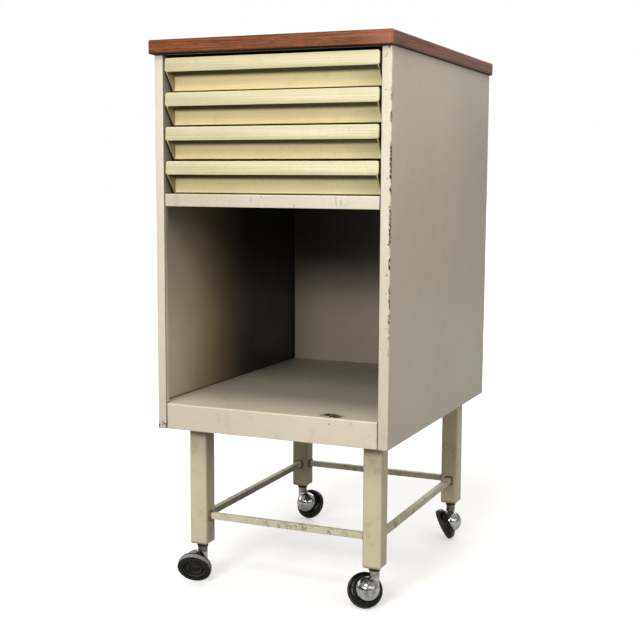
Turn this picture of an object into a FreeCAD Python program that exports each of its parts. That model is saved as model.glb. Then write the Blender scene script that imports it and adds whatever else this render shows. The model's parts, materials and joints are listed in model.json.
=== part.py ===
import FreeCAD, Part
import math
import os

# Rolling pedestal cabinet: a folded steel carcass with four pull-lip drawers over an open
# compartment, a laminated worktop, a welded leg frame and four tilted-wheel ball casters.
# Millimetres. +X is the cabinet's right side seen from the front, -Y is the front, +Z is up.
# The origin is on the floor, under the middle of the worktop.

V = FreeCAD.Vector
UP = V(0, 0, 1)

# Overall sizes
CARCASS_W = 400.0
CARCASS_D = 536.0
CARCASS_H = 600.0
CASTER_H = 68.0
LEG_DROP = 208.0
WORKTOP_T = 22.0
SIDE_OVERHANG = 5.0
FRONT_OVERHANG = 11.0
BACK_OVERHANG = 4.0

# Worktop
LAMINATE_T = 1.0
EDGING_T = 1.2
WORKTOP_CORNER_R = 4.0
WORKTOP_EDGE_R = 2.6
TOP_SCREW_X = 150.0
TOP_SCREW_IN = 50.0
TOP_SCREW_BITE = 14.0

# Sheet metal
SHEET = 1.2
STILE_W = 16.8
STILE_LIP = 9.0
DRAWER_LIP = 28.0
BEND_R = 2.4
SHELF_TOP = 42.0
SHELF_GAP = 1.0
RAIL_TOP = 382.0
RAIL_H = 20.0
HEM = 10.0
TOP_FLANGE = 9.0
FLANGE_SHARE = 0.6

# Drawers
DRAWERS = 4
DRAWER_PITCH = 53.5
DRAWER_TOP_GAP = 6.0
FRONT_PROUD = 1.0
BAND_HALF_W = 180.3
BAND_H = 21.0
BAND_LOWER_H = 6.5
BAND_STEP = 0.6
BAND_T = 4.0
BAND_CORNER_R = 3.5
CHIN_IN = 2.5
FRONT_HALF_W = 178.5
FRONT_CORNER_R = 2.5
FRONT_H = 50.0
RECESS_D = 25.0
TRAY_HALF_W = 172.0
TRAY_D = 470.0
TRAY_H = 38.0
TRAY_BOTTOM = 47.5
TRAY_FLANGE = 7.0

# Runners
RUNNER_CLEAR = 0.5
RUNNER_D = 9.5
RUNNER_WEB = 183.2
RUNNER_LEN = 460.0
UPRIGHT_W = 25.0
UPRIGHT_Y = (-196.0, 218.0)

# Leg frame
LEG = 31.75
LEG_WALL = 2.0
LEG_R = 4.0
FOOT_R = 6.5
LEG_X = 155.8
LEG_Y = (-196.4, 220.1)
PLATE = 56.0
PLATE_T = 3.0
SCREW_R = 2.2
SCREW_HEAD_R = 4.2
SCREW_HEAD_T = 2.0
SCREW_NECK = 0.5
SCREW_FROM_LEG = 6.0
STRETCHER = 10.5
STRETCHER_Z = 114.0
FRONT_STRETCHER_Z = 117.5
STRETCHER_R = 1.2
WELD = 4.0
WELD_TIP = 0.4

# Casters
TILT = math.radians(28.0)
WHEEL_R = 29.0
TYRE_IN_R = 22.0
TREAD_W = 7.0
TREAD_EDGE_R = 1.8
TYRE_BACK = 15.1
SHOULDER_R = 23.0
SHOULDER_BULGE = (27.4, 12.0)
HUB_W = 16.3
HUB_FLOOR = 4.2
HUB_CAP = 1.8
AXLE_END = 5.2
WHEEL_OUT = 15.0
TRAIL = 12.0
HOOD_R = 20.0
HOOD_T = 1.6
HOOD_BACK = 18.0
NECK_R = 8.2
COLLAR_R = 9.4
COLLAR_H = 5.0
SOCKET_R = 8.6
SOCKET_DEPTH = 42.0
STEM_R = 5.5
STEM_FIT = 0.05
STEM_UP = 38.0
STEM_DOWN = 10.0
AXLE_R = 4.0
AXLE_FIT = 0.05
BOSS_R = 6.5
AXLE_ROOT = 5.0
SWIVEL_GAP = 0.4

# Side, row, swivel angle and hand of each caster. The left ones are the opposite hand.
CASTERS = {
    "front_left": (-1, 0, 285.0, -1),
    "front_right": (1, 0, 130.0, 1),
    "back_left": (-1, 1, 75.0, -1),
    "back_right": (1, 1, 195.0, 1),
}

# Places worked out from the sizes above
WORKTOP_W = CARCASS_W + 2 * SIDE_OVERHANG
WORKTOP_D = CARCASS_D + FRONT_OVERHANG + BACK_OVERHANG
HALF_W = CARCASS_W / 2
FRONT = -WORKTOP_D / 2 + FRONT_OVERHANG
BACK = FRONT + CARCASS_D
BOTTOM = CASTER_H + LEG_DROP
TOP = BOTTOM + CARCASS_H
STILE_IN = HALF_W - STILE_W
BACK_IN = BACK - 2 * SHEET
FACE = FRONT - FRONT_PROUD
PANEL_Y = FACE + RECESS_D
SHELF_Z = BOTTOM + SHELF_TOP
RAIL_Z = BOTTOM + RAIL_TOP


def box(x0, x1, y0, y1, z0, z1):
    """A box between two corners."""
    return Part.makeBox(x1 - x0, y1 - y0, z1 - z0, V(x0, y0, z0))


def rod(radius, start, end):
    """A cylinder between two points."""
    along = end - start
    return Part.makeCylinder(radius, along.Length, start, along)


def prism_x(outline, x0, x1):
    """A (y, z) outline pushed from x0 to x1."""
    points = [V(x0, y, z) for y, z in outline]
    face = Part.Face(Part.makePolygon(points + points[:1]))
    return face.extrude(V(x1 - x0, 0, 0))


def mirror(shape):
    """The same shape on the other side of the cabinet."""
    return shape.mirror(V(0, 0, 0), V(1, 0, 0))


def on_side(shape, side):
    """A right-hand shape, kept or mirrored to the left."""
    if side < 0:
        return mirror(shape)
    return shape


def edges_along(shape, direction, keep):
    """The straight edges along a direction whose middle point passes a test."""
    found = []
    for edge in shape.Edges:
        if len(edge.Vertexes) == 2:
            run = edge.Vertexes[1].Point - edge.Vertexes[0].Point
            middle = (edge.Vertexes[1].Point + edge.Vertexes[0].Point) * 0.5
            if run.cross(direction).Length < 0.001 * run.Length and keep(middle):
                found.append(edge)
    return found


def write(name, solids):
    """One node: one STEP file of one or more separate solids."""
    shape = solids[0] if len(solids) == 1 else Part.makeCompound(solids)
    shape.exportStep("parts/" + name + ".step")


# ---------------------------------------------------------------- worktop


def worktop_outline(inset, z0, z1, radius):
    """A plate with rounded upright corners, set in from the worktop's edge."""
    half_w = WORKTOP_W / 2 - inset
    half_d = WORKTOP_D / 2 - inset
    plate = box(-half_w, half_w, -half_d, half_d, z0, z1)
    return plate.makeFillet(radius, edges_along(plate, UP, lambda p: True))


def worktop():
    """The chipboard core, the laminate sheet on it and the edge band round both."""
    top = TOP + WORKTOP_T
    whole = worktop_outline(0, TOP, top, WORKTOP_CORNER_R)
    rim = []
    for edge in whole.Edges:
        flat = abs(edge.BoundBox.ZLength) < 0.001
        if flat:
            rim.append(edge)
    whole = whole.makeFillet(WORKTOP_EDGE_R, rim)
    inner_r = WORKTOP_CORNER_R - EDGING_T
    middle = worktop_outline(EDGING_T, TOP - 1, top + 1, inner_r)
    core = worktop_outline(EDGING_T, TOP, top - LAMINATE_T, inner_r)
    laminate = worktop_outline(EDGING_T, top - LAMINATE_T, top, inner_r)
    edging = whole.cut(middle)
    core = core.common(whole)
    laminate = laminate.common(whole)
    for screw in worktop_screw_solids():
        core = core.cut(screw)
    write("worktop_core", core.Solids)
    write("worktop_laminate", laminate.Solids)
    write("worktop_edging", edging.Solids)


def worktop_screw_places():
    """Where the screws come up through the top panel into the worktop."""
    rows = (FRONT + TOP_SCREW_IN, BACK - TOP_SCREW_IN)
    return [V(x, y, TOP) for x in (-TOP_SCREW_X, TOP_SCREW_X) for y in rows]


def worktop_screw_solids():
    """Each screw: a head under the top panel and a shank up into the worktop."""
    screws = []
    for place in worktop_screw_places():
        under = place - UP * SHEET
        head = rod(SCREW_HEAD_R, under - UP * SCREW_HEAD_T, under)
        shank = rod(SCREW_R, under - UP * SCREW_NECK, place + UP * TOP_SCREW_BITE)
        screws.append(head.fuse(shank).removeSplitter())
    return screws


# ---------------------------------------------------------------- carcass


def side_panel(side):
    """A single steel skin with a front stile, a back flange and a return lip on each.

    The front lip is deeper beside the drawers than beside the open compartment.
    """
    outer = box(STILE_IN, HALF_W, FRONT, BACK, BOTTOM, TOP)
    outer = outer.makeFillet(BEND_R, edges_along(outer, UP, lambda p: True))
    inner = box(STILE_IN + SHEET, HALF_W - SHEET, FRONT + SHEET, BACK - SHEET, BOTTOM, TOP)
    inner_r = BEND_R - SHEET
    inner = inner.makeFillet(inner_r, edges_along(inner, UP, lambda p: True))
    clear = STILE_IN + SHEET + BEND_R
    rail = RAIL_Z + SHELF_GAP
    mouth = box(STILE_IN - 1, clear, FRONT + STILE_LIP, BACK - SHEET, BOTTOM, rail)
    drawer_mouth = box(STILE_IN - 1, clear, FRONT + DRAWER_LIP, BACK - SHEET, rail, TOP)
    back_lip = box(STILE_IN - 1, STILE_IN + SHEET, BACK - BEND_R, BACK + 1, BOTTOM, TOP)
    skin = outer.cut(inner).cut(mouth).cut(drawer_mouth).cut(back_lip)
    return on_side(skin, side)


def top_panel():
    """The flat sheet that closes the carcass under the worktop, with its side flanges."""
    half = STILE_IN - 0.5
    sheet = box(-half, half, FRONT, BACK_IN, TOP - SHEET, TOP)
    flange = box(half - SHEET, half, FRONT + HEM, BACK_IN, TOP - TOP_FLANGE, TOP)
    panel = sheet.fuse([flange, mirror(flange)])
    for screw in worktop_screw_solids():
        panel = panel.cut(screw)
    return panel.removeSplitter()


def back_panel():
    """One sheet inside the side panels' back flanges."""
    half = HALF_W - BEND_R - SHELF_GAP
    return box(-half, half, BACK_IN, BACK - SHEET, BOTTOM, TOP - SHEET)


def shelf(top, front_h, hem):
    """A shelf pan: a sheet with a turned-down front, side flanges and a back flange."""
    half = HALF_W - SHEET
    front_half = STILE_IN - SHELF_GAP
    behind = FRONT + STILE_LIP + SHELF_GAP
    sheet = box(-half, half, behind, BACK_IN, top - SHEET, top)
    tongue = box(-front_half, front_half, FRONT, behind, top - SHEET, top)
    apron = box(-front_half, front_half, FRONT, FRONT + SHEET, top - front_h, top)
    lip = box(
        -front_half, front_half, FRONT, FRONT + hem, top - front_h, top - front_h + SHEET
    )
    flange_z = top - front_h * FLANGE_SHARE
    side = box(half - SHEET, half, behind, BACK_IN, flange_z, top)
    rear = box(-half, half, BACK_IN - SHEET, BACK_IN, flange_z, top)
    pan = sheet.fuse([tongue, apron, lip, side, mirror(side), rear]).removeSplitter()
    rounded = edges_along(
        pan, V(1, 0, 0), lambda p: p.y < FRONT + 0.1 and p.z > top - front_h - 0.1
    )
    return pan.makeFillet(SHEET * 0.9, rounded)


def carcass():
    """The folded steel box."""
    write("side_panel_left", [side_panel(-1)])
    write("side_panel_right", [side_panel(1)])
    write("top_panel", [top_panel()])
    write("back_panel", [back_panel()])
    write("divider_shelf", [shelf(RAIL_Z, RAIL_H, HEM)])
    write("bottom_shelf", [shelf(SHELF_Z, SHELF_TOP, HEM)])
    write("worktop_screws", worktop_screw_solids())


# ---------------------------------------------------------------- drawers


def drawer_top(number):
    """The height of a drawer's top edge. Drawer 1 is the top one."""
    return TOP - DRAWER_TOP_GAP - (number - 1) * DRAWER_PITCH


def drawer_front(top):
    """A pressed front: a projecting pull band over a deep finger recess."""
    y0 = FACE
    y1 = PANEL_Y
    foot = top - FRONT_H
    chin = top - BAND_H
    cheek = [
        (y0 + FRONT_PROUD, top),
        (y1 + SHEET, top),
        (y1 + SHEET, foot),
        (y1 - CHIN_IN, foot),
        (y0 + FRONT_PROUD, chin),
    ]
    body = prism_x(cheek, -FRONT_HALF_W, FRONT_HALF_W)
    upper = edges_along(body, V(0, 1, 0), lambda p: abs(p.z - top) < 0.01)
    body = body.makeFillet(FRONT_CORNER_R, upper)
    inside = FRONT_HALF_W - SHEET
    skin = y0 + SHEET + BAND_STEP
    pocket = [
        (skin, top - SHEET),
        (y1, top - SHEET),
        (y1, foot + SHEET),
        (y0 - 1, foot + SHEET),
        (y0 - 1, chin),
        (y0 + BAND_T, chin),
        (y0 + BAND_T, chin + SHEET),
        (skin, chin + SHEET),
    ]
    step = chin + BAND_LOWER_H
    band_outline = [
        (y0 + BAND_STEP, top),
        (y0 + BAND_T, top),
        (y0 + BAND_T, chin),
        (y0, chin),
        (y0, step - BAND_STEP),
        (y0 + BAND_STEP, step),
    ]
    band = prism_x(band_outline, -BAND_HALF_W, BAND_HALF_W)
    corners = edges_along(
        band, V(0, 1, 0), lambda p: abs(p.z - top) < 0.01 or abs(p.z - chin) < 0.01
    )
    band = band.makeFillet(BAND_CORNER_R, corners)
    front = body.fuse(band).cut(prism_x(pocket, -inside, inside))
    return front.removeSplitter()


def tray_flange_z(top):
    """The underside of the tray's side flanges, which ride in the runners."""
    return top - TRAY_BOTTOM + TRAY_H


def drawer_tray(top):
    """An open steel tray: its base, walls and side flanges touch where the sheet is folded."""
    x0 = TRAY_HALF_W - SHEET
    y0 = PANEL_Y + SHEET
    y1 = y0 + TRAY_D
    z0 = top - TRAY_BOTTOM
    z1 = z0 + TRAY_H
    floor = z0 + SHEET
    base = box(-TRAY_HALF_W, TRAY_HALF_W, y0, y1, z0, floor)
    front = box(-TRAY_HALF_W, TRAY_HALF_W, y0, y0 + SHEET, floor, z1)
    back = box(-TRAY_HALF_W, TRAY_HALF_W, y1 - SHEET, y1, floor, z1)
    wall = box(x0, TRAY_HALF_W, y0 + SHEET, y1 - SHEET, floor, z1)
    flange = box(
        TRAY_HALF_W, TRAY_HALF_W + TRAY_FLANGE, y0 + HEM, y1 - HEM, z1 - SHEET, z1
    )
    return [base, front, back, wall, mirror(wall), flange, mirror(flange)]


def runner(top, side):
    """A channel that holds one of the tray's flanges."""
    z_flange = tray_flange_z(top) - SHEET
    low = z_flange - RUNNER_CLEAR - SHEET
    high = z_flange + SHEET + RUNNER_CLEAR + SHEET
    x0 = RUNNER_WEB - RUNNER_D
    y0 = PANEL_Y + SHEET + HEM
    channel = box(x0, RUNNER_WEB, y0, y0 + RUNNER_LEN, low, high)
    hollow = box(
        x0 - 1, RUNNER_WEB - SHEET, y0 - 1, y0 + RUNNER_LEN + 1, low + SHEET, high - SHEET
    )
    return on_side(channel.cut(hollow), side)


def uprights(side):
    """Two top-hat posts that carry one side's runners off the side panel."""
    z0 = RAIL_Z
    z1 = TOP - TOP_FLANGE - SHELF_GAP
    posts = []
    for y in UPRIGHT_Y:
        hat = box(RUNNER_WEB, HALF_W - SHEET, y, y + UPRIGHT_W, z0, z1)
        hollow = box(
            RUNNER_WEB + SHEET, HALF_W, y + SHEET, y + UPRIGHT_W - SHEET, z0 - 1, z1 + 1
        )
        posts.append(on_side(hat.cut(hollow), side))
    return posts


def drawers():
    """Four drawers, the runners and the posts behind them."""
    for number in range(1, DRAWERS + 1):
        top = drawer_top(number)
        write("drawer_front_%d" % number, [drawer_front(top)])
        write("drawer_tray_%d" % number, drawer_tray(top))
        write("drawer_runners_%d" % number, [runner(top, -1), runner(top, 1)])
    write("runner_posts_left", uprights(-1))
    write("runner_posts_right", uprights(1))


# ---------------------------------------------------------------- leg frame


def leg_centre(side, row, z):
    """The middle of a leg at a height."""
    return V(side * LEG_X, LEG_Y[row], z)


def leg(side, row):
    """A square tube, closed and rounded over at its foot, with a hole for the socket."""
    centre = leg_centre(side, row, 0)
    half = LEG / 2
    z1 = SHELF_Z - SHEET - PLATE_T
    outer = box(centre.x - half, centre.x + half, centre.y - half, centre.y + half, CASTER_H, z1)
    uncut = outer.copy()
    outer = outer.makeFillet(LEG_R, edges_along(outer, UP, lambda p: True))
    for direction in (V(1, 0, 0), V(0, 1, 0)):
        foot = edges_along(uncut, direction, lambda p: p.z < CASTER_H + 0.01)
        outer = outer.common(uncut.makeFillet(FOOT_R, foot))
    hollow_half = half - LEG_WALL
    hollow = box(
        centre.x - hollow_half,
        centre.x + hollow_half,
        centre.y - hollow_half,
        centre.y + hollow_half,
        CASTER_H + LEG_WALL + LEG_R,
        z1 + 1,
    )
    hollow = hollow.makeFillet(LEG_R - LEG_WALL, edges_along(hollow, UP, lambda p: True))
    hole = rod(SOCKET_R, centre + UP * (CASTER_H - 1), centre + UP * (CASTER_H + SOCKET_DEPTH))
    return outer.cut(hollow).cut(hole)


def plate_screw_places(side, row):
    """Two screws beside each leg, on its plate."""
    centre = leg_centre(side, row, SHELF_Z - SHEET - PLATE_T)
    reach = LEG / 2 + SCREW_FROM_LEG
    return [centre + V(0, reach, 0), centre - V(0, reach, 0)]


def plate_screw(place):
    """A screw head under the leg plate with its shank through the plate."""
    head = rod(SCREW_HEAD_R, place - UP * SCREW_HEAD_T, place)
    shank = rod(SCREW_R, place - UP * SCREW_NECK, place + UP * PLATE_T)
    return head.fuse(shank).removeSplitter()


def leg_plate(side, row):
    """The plate between a leg and the bottom shelf."""
    centre = leg_centre(side, row, 0)
    half = PLATE / 2
    z1 = SHELF_Z - SHEET
    plate = box(
        centre.x - half, centre.x + half, centre.y - half, centre.y + half, z1 - PLATE_T, z1
    )
    for place in plate_screw_places(side, row):
        plate = plate.cut(plate_screw(place))
    return plate


def stretcher(start, end):
    """A small square tube between two legs."""
    half = STRETCHER / 2
    low = V(min(start.x, end.x), min(start.y, end.y), start.z - half)
    high = V(max(start.x, end.x), max(start.y, end.y), start.z + half)
    if abs(start.x - end.x) > abs(start.y - end.y):
        low.y -= half
        high.y += half
        along = V(1, 0, 0)
    else:
        low.x -= half
        high.x += half
        along = V(0, 1, 0)
    bar = box(low.x, high.x, low.y, high.y, low.z, high.z)
    return bar.makeFillet(STRETCHER_R, edges_along(bar, along, lambda p: True))


def weld(place, outward):
    """A fillet weld all round the end of a stretcher, where it meets a leg."""
    wide = STRETCHER / 2 + WELD
    narrow = STRETCHER / 2 + WELD_TIP
    loops = []
    for reach, along in ((wide, 0.0), (narrow, WELD)):
        across = UP.cross(outward) * reach
        corners = [
            place + outward * along + across * a + UP * reach * b
            for a, b in ((-1, -1), (1, -1), (1, 1), (-1, 1))
        ]
        loops.append(Part.makePolygon(corners + corners[:1]))
    return Part.makeLoft(loops, True, True)


def stretchers_and_welds():
    """The four stretchers and the welds at their eight ends."""
    half = LEG / 2
    front = LEG_Y[0]
    back = LEG_Y[1]
    high = FRONT_STRETCHER_Z
    z = STRETCHER_Z
    ends = {
        "stretcher_front": (V(-LEG_X + half, front, high), V(LEG_X - half, front, high)),
        "stretcher_back": (V(-LEG_X + half, back, z), V(LEG_X - half, back, z)),
        "stretcher_left": (V(-LEG_X, front + half, z), V(-LEG_X, back - half, z)),
        "stretcher_right": (V(LEG_X, front + half, z), V(LEG_X, back - half, z)),
    }
    welds = []
    for name, (start, end) in ends.items():
        bar = stretcher(start, end)
        write(name, [bar])
        along = (end - start).normalize()
        welds.append(weld(start, along).cut(bar))
        welds.append(weld(end, along * -1).cut(bar))
    write("weld_beads", welds)


def leg_frame():
    """Legs, plates, stretchers and their fasteners."""
    plates = []
    screws = []
    for name, (side, row, *_) in CASTERS.items():
        write("leg_" + name, [leg(side, row)])
        plates.append(leg_plate(side, row))
        screws += [plate_screw(place) for place in plate_screw_places(side, row)]
    write("leg_plates", plates)
    write("leg_plate_screws", screws)
    stretchers_and_welds()


# ---------------------------------------------------------------- casters


def revolve(outline):
    """A closed (radius, height) outline turned about Z."""
    face = Part.Face(Part.Wire(outline))
    return face.revolve(V(0, 0, 0), UP, 360)


def line(a, b):
    """A straight edge between two (radius, height) points."""
    return Part.LineSegment(V(a[0], 0, a[1]), V(b[0], 0, b[1])).toShape()


def arc(a, b, c):
    """A round edge through three (radius, height) points."""
    return Part.Arc(V(a[0], 0, a[1]), V(b[0], 0, b[1]), V(c[0], 0, c[1])).toShape()


def lowest_point():
    """How far the tyre reaches below the middle of the wheel's outer face."""
    edge_r = WHEEL_R - TREAD_EDGE_R
    return edge_r * math.cos(TILT) - TREAD_EDGE_R * math.sin(TILT) + TREAD_EDGE_R


def tyre():
    """The rubber tyre about Z, with the wheel's outer face at height 0 and its back below."""
    e = TREAD_EDGE_R
    s = e * math.sqrt(0.5)
    rim = WHEEL_R - e
    shoulder = (SHOULDER_R, -TYRE_BACK)
    bulge = (SHOULDER_BULGE[0], -SHOULDER_BULGE[1])
    return revolve(
        [
            line((TYRE_IN_R, 0), (rim, 0)),
            arc((rim, 0), (rim + s, -e + s), (WHEEL_R, -e)),
            line((WHEEL_R, -e), (WHEEL_R, -TREAD_W)),
            arc((WHEEL_R, -TREAD_W), bulge, shoulder),
            line(shoulder, (TYRE_IN_R, -TYRE_BACK)),
            line((TYRE_IN_R, -TYRE_BACK), (TYRE_IN_R, 0)),
        ]
    )


# Radius and depth from the wheel's outer face of each ring in its dished hub
HUB_FACE = (
    (TYRE_IN_R, 0.6), (19.0, 0.6), (18.0, 2.4), (13.5, 2.9), (13.0, 2.2),
    (11.5, 2.2), (11.0, 3.0), (6.5, 3.2), (6.0, 2.2), (0.0, HUB_CAP),
)
# The ribbed back of the hub: inner radius, outer radius and depth of its groove
HUB_GROOVE = (12.0, 17.5, 3.0)


def hub():
    """The moulded wheel centre, dished and ringed on its face, bored for the axle."""
    bore = AXLE_R + AXLE_FIT
    inner, outer, depth = HUB_GROOVE
    back = [
        (bore, -HUB_W),
        (inner, -HUB_W),
        (inner, -HUB_W + depth),
        (outer, -HUB_W + depth),
        (outer, -HUB_W),
        (TYRE_IN_R, -HUB_W),
    ]
    front = [(radius, -sunk) for radius, sunk in HUB_FACE]
    outline = back + front + [(0, -HUB_FLOOR), (bore, -HUB_FLOOR)]
    edges = [line(a, b) for a, b in zip(outline, outline[1:] + outline[:1])]
    return revolve(edges)


def caster_frame(side, row, angle, hand):
    """The wheel's axis, the middle of its outer face and the middle of the hood's ball."""
    heading = math.radians(angle)
    out = V(math.cos(heading), math.sin(heading), 0)
    across = V(-math.sin(heading), math.cos(heading), 0) * hand
    axis = out * math.cos(TILT) - UP * math.sin(TILT)
    face = leg_centre(side, row, lowest_point()) + out * WHEEL_OUT + across * TRAIL
    ball = face - axis * HOOD_BACK
    return axis, face, ball


def place_on_axis(shape, axis, face):
    """Turns a wheel made about Z onto its own axis."""
    turned = shape.copy()
    turned.Placement = FreeCAD.Placement(face, FreeCAD.Rotation(UP, axis))
    return turned


def hood(pivot, axis, ball):
    """The domed metal hood with its neck and the boss that holds the axle."""
    neck_top = CASTER_H - COLLAR_H - SWIVEL_GAP
    neck = rod(NECK_R, pivot + UP * ball.z, pivot + UP * neck_top)
    outer = Part.makeSphere(HOOD_R, ball).fuse(neck)
    wheel_side = rod(3 * HOOD_R, ball, ball + axis * 3 * HOOD_R)
    hollow = Part.makeSphere(HOOD_R - HOOD_T, ball)
    boss = rod(BOSS_R, ball - axis * (HOOD_R - HOOD_T * 0.5), ball)
    axle_hole = rod(AXLE_R, ball - axis * (HOOD_R - AXLE_ROOT), ball + axis)
    stem_hole = rod(STEM_R, pivot + UP * (neck_top - STEM_DOWN), pivot + UP * (neck_top + 1))
    shell = outer.cut(wheel_side).cut(hollow).fuse(boss)
    return shell.cut(axle_hole).cut(stem_hole).removeSplitter()


def caster(name, side, row, angle, hand):
    """One ball caster: socket in the leg, swivelling hood, stem and axle, and the wheel."""
    pivot = leg_centre(side, row, 0)
    axis, face, ball = caster_frame(side, row, angle, hand)
    collar = rod(COLLAR_R, pivot + UP * (CASTER_H - COLLAR_H), pivot + UP * CASTER_H)
    body = rod(SOCKET_R, pivot + UP * CASTER_H, pivot + UP * (CASTER_H + SOCKET_DEPTH))
    bore_top = CASTER_H + STEM_UP
    bore = rod(STEM_R + STEM_FIT, pivot + UP * (CASTER_H - COLLAR_H - 1), pivot + UP * bore_top)
    write("caster_socket_" + name, [collar.fuse(body).cut(bore).removeSplitter()])
    neck_top = CASTER_H - COLLAR_H - SWIVEL_GAP
    stem = rod(STEM_R, pivot + UP * (neck_top - STEM_DOWN), pivot + UP * (bore_top - 1))
    write("caster_stem_" + name, [stem])
    write("caster_hood_" + name, [hood(pivot, axis, ball)])
    axle = rod(AXLE_R, ball - axis * (HOOD_R - AXLE_ROOT), face - axis * AXLE_END)
    write("caster_axle_" + name, [axle])
    write("wheel_hub_" + name, [place_on_axis(hub(), axis, face)])
    write("wheel_tyre_" + name, [place_on_axis(tyre(), axis, face)])


def casters():
    """The four casters."""
    for name, (side, row, angle, hand) in CASTERS.items():
        caster(name, side, row, angle, hand)


os.makedirs("parts", exist_ok=True)
worktop()
carcass()
drawers()
leg_frame()
casters()
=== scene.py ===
import json
import math

import bmesh
import bpy
from mathutils import Matrix, Vector, noise


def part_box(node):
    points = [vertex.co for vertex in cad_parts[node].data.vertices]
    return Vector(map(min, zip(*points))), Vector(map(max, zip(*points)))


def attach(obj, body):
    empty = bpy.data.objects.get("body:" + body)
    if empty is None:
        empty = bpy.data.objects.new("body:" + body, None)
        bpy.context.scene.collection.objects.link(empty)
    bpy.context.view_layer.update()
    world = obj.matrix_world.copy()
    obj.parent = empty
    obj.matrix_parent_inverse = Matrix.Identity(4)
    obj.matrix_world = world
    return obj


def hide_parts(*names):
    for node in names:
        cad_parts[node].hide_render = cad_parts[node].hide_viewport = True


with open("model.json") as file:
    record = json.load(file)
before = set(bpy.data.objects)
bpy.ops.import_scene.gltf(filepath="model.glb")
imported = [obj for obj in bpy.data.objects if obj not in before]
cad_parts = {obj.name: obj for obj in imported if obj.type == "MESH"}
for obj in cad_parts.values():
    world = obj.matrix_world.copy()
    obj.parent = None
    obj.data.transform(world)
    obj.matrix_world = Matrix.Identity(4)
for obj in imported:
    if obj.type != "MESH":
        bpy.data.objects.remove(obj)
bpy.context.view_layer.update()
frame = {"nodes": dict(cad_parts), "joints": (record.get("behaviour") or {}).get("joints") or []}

# Rolling pedestal cabinet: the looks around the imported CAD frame.
# Metres. +X is the cabinet's right side seen from the front, -Y is the front, +Z is up.

# Camera, and the point that the softboxes face
CAM_AZIMUTH = 23.199
CAM_PITCH = 6.876
CAM_ROLL = 0.316
CAM_DISTANCE = 2.0648
CAM_TARGET = Vector((-0.0254, 0.0, 0.4344))
CAM_LENS = 65.471
SENSOR = 36.0
LIT_MIDDLE = Vector((0.0, 0.0, 0.45))

# The cabinet's own places, from the frame
X, Y, Z = 0, 1, 2
side_low, side_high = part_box("side_panel_right")
top_low, top_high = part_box("worktop_edging")
bar_low, bar_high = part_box("stretcher_front")
STILE_IN, FRONT, CARCASS_LOW = side_low
HALF_W, BACK, CARCASS_TOP = side_high
WORKTOP_HALF_W = top_high[X]
WORKTOP_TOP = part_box("worktop_laminate")[1][Z]
WORKTOP_FRONT = top_low[Y]
SHELF_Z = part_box("bottom_shelf")[1][Z]
RAIL_LOW, RAIL_Z = (corner[Z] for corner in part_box("divider_shelf"))
DRAWER_TOPS = [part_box("drawer_front_%d" % number)[1][Z] for number in range(1, 5)]
BAND_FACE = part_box("drawer_front_1")[0][Y]
STRETCHER_Z = (bar_low[Z] + bar_high[Z]) / 2
SIDE_BAR_Z = (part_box("stretcher_left")[0][Z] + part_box("stretcher_left")[1][Z]) / 2
STRETCHER_HALF = (bar_high[Z] - bar_low[Z]) / 2
BAR_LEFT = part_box("stretcher_left")[0][X] + STRETCHER_HALF
LEFT_LEG_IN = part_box("leg_front_left")[1][X]
CORNERS = ("front_left", "front_right", "back_left", "back_right")
WHEELS = {joint["child"]: joint for joint in frame["joints"]}

# Details that the frame has no node for
BAND_HEIGHT = 0.021  # a drawer's pull band
PANEL_HEIGHT = 0.0487  # a drawer front, from its top
TRAY_BOTTOM = 0.0475  # a tray's underside, from the front's top
CHEEK_X = 0.1773  # the drawer fronts' end cheeks
WHEEL_R = 0.029
TREAD_WIDTH = 0.007
FOLD_X = -0.1841  # the fold line down the left stile
NECK_LOW = 0.0515  # the foot of a caster hood's neck
BETWEEN_LEGS = (0.200, 0.178)  # where the side bars come clear of the legs
BEAD_R = 0.0021
BEAD_STEPS, BEAD_SIDES = 48, 10
SHEET_SOFTENING = 0.0004
RUNNER_SOFTENING = 0.0003
PLATE_SOFTENING = 0.0005
FLOOR_HALF = 30.0

# Marks on the surfaces: where the clearest ones lie
# painted shade lines across the pull bands
BAND_SHADE_LINES = ((0.45, 0.0009), (0.66, 0.0010), (0.82, 0.0006))  # share of the band, half width
# rings on the hub face that are partly dust and partly painted highlight
DUST_AND_SHEEN_RINGS = ((0.0062, 0.0016), (0.0122, 0.0020), (0.0185, 0.0014))  # radius, half width
CHIPPED_RUNS = ((CARCASS_LOW + 0.440, 0.022), (CARCASS_LOW + 0.336, 0.038))
CHIPPED_MIDDLE, CHIPPED_REACH = CARCASS_LOW + 0.344, 0.250
SPECKS_X = HALF_W - 0.0035
KNOCK_X, KNOCK_Z = HALF_W - 0.005, CARCASS_TOP - 0.0025
SCRATCH_X, SCRATCH_Z = HALF_W - 0.0094, CARCASS_TOP - 0.0144
SCRATCH_SLOPE = 0.55
FLAKE_X, FLAKE_Y = 0.101, FRONT + 0.021
FLAKE_LENGTH, FLAKE_DEPTH = 0.020, 0.012
FLAKE_RAGGED, FLAKE_SKEW = 0.048, 0.35
SHELF_MARK_X, SHELF_MARK_Y = 0.0465, FRONT + 0.0268
LONG_SCRATCH_X, SHORT_SCRATCH_X = 0.1130, 0.1210
RAIL_SCRATCH_Z = RAIL_Z - 0.010
APRON_MARK_X, APRON_MARK_Z = 0.104, SHELF_Z - 0.009


# ---------------------------------------------------------------- node materials


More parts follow.
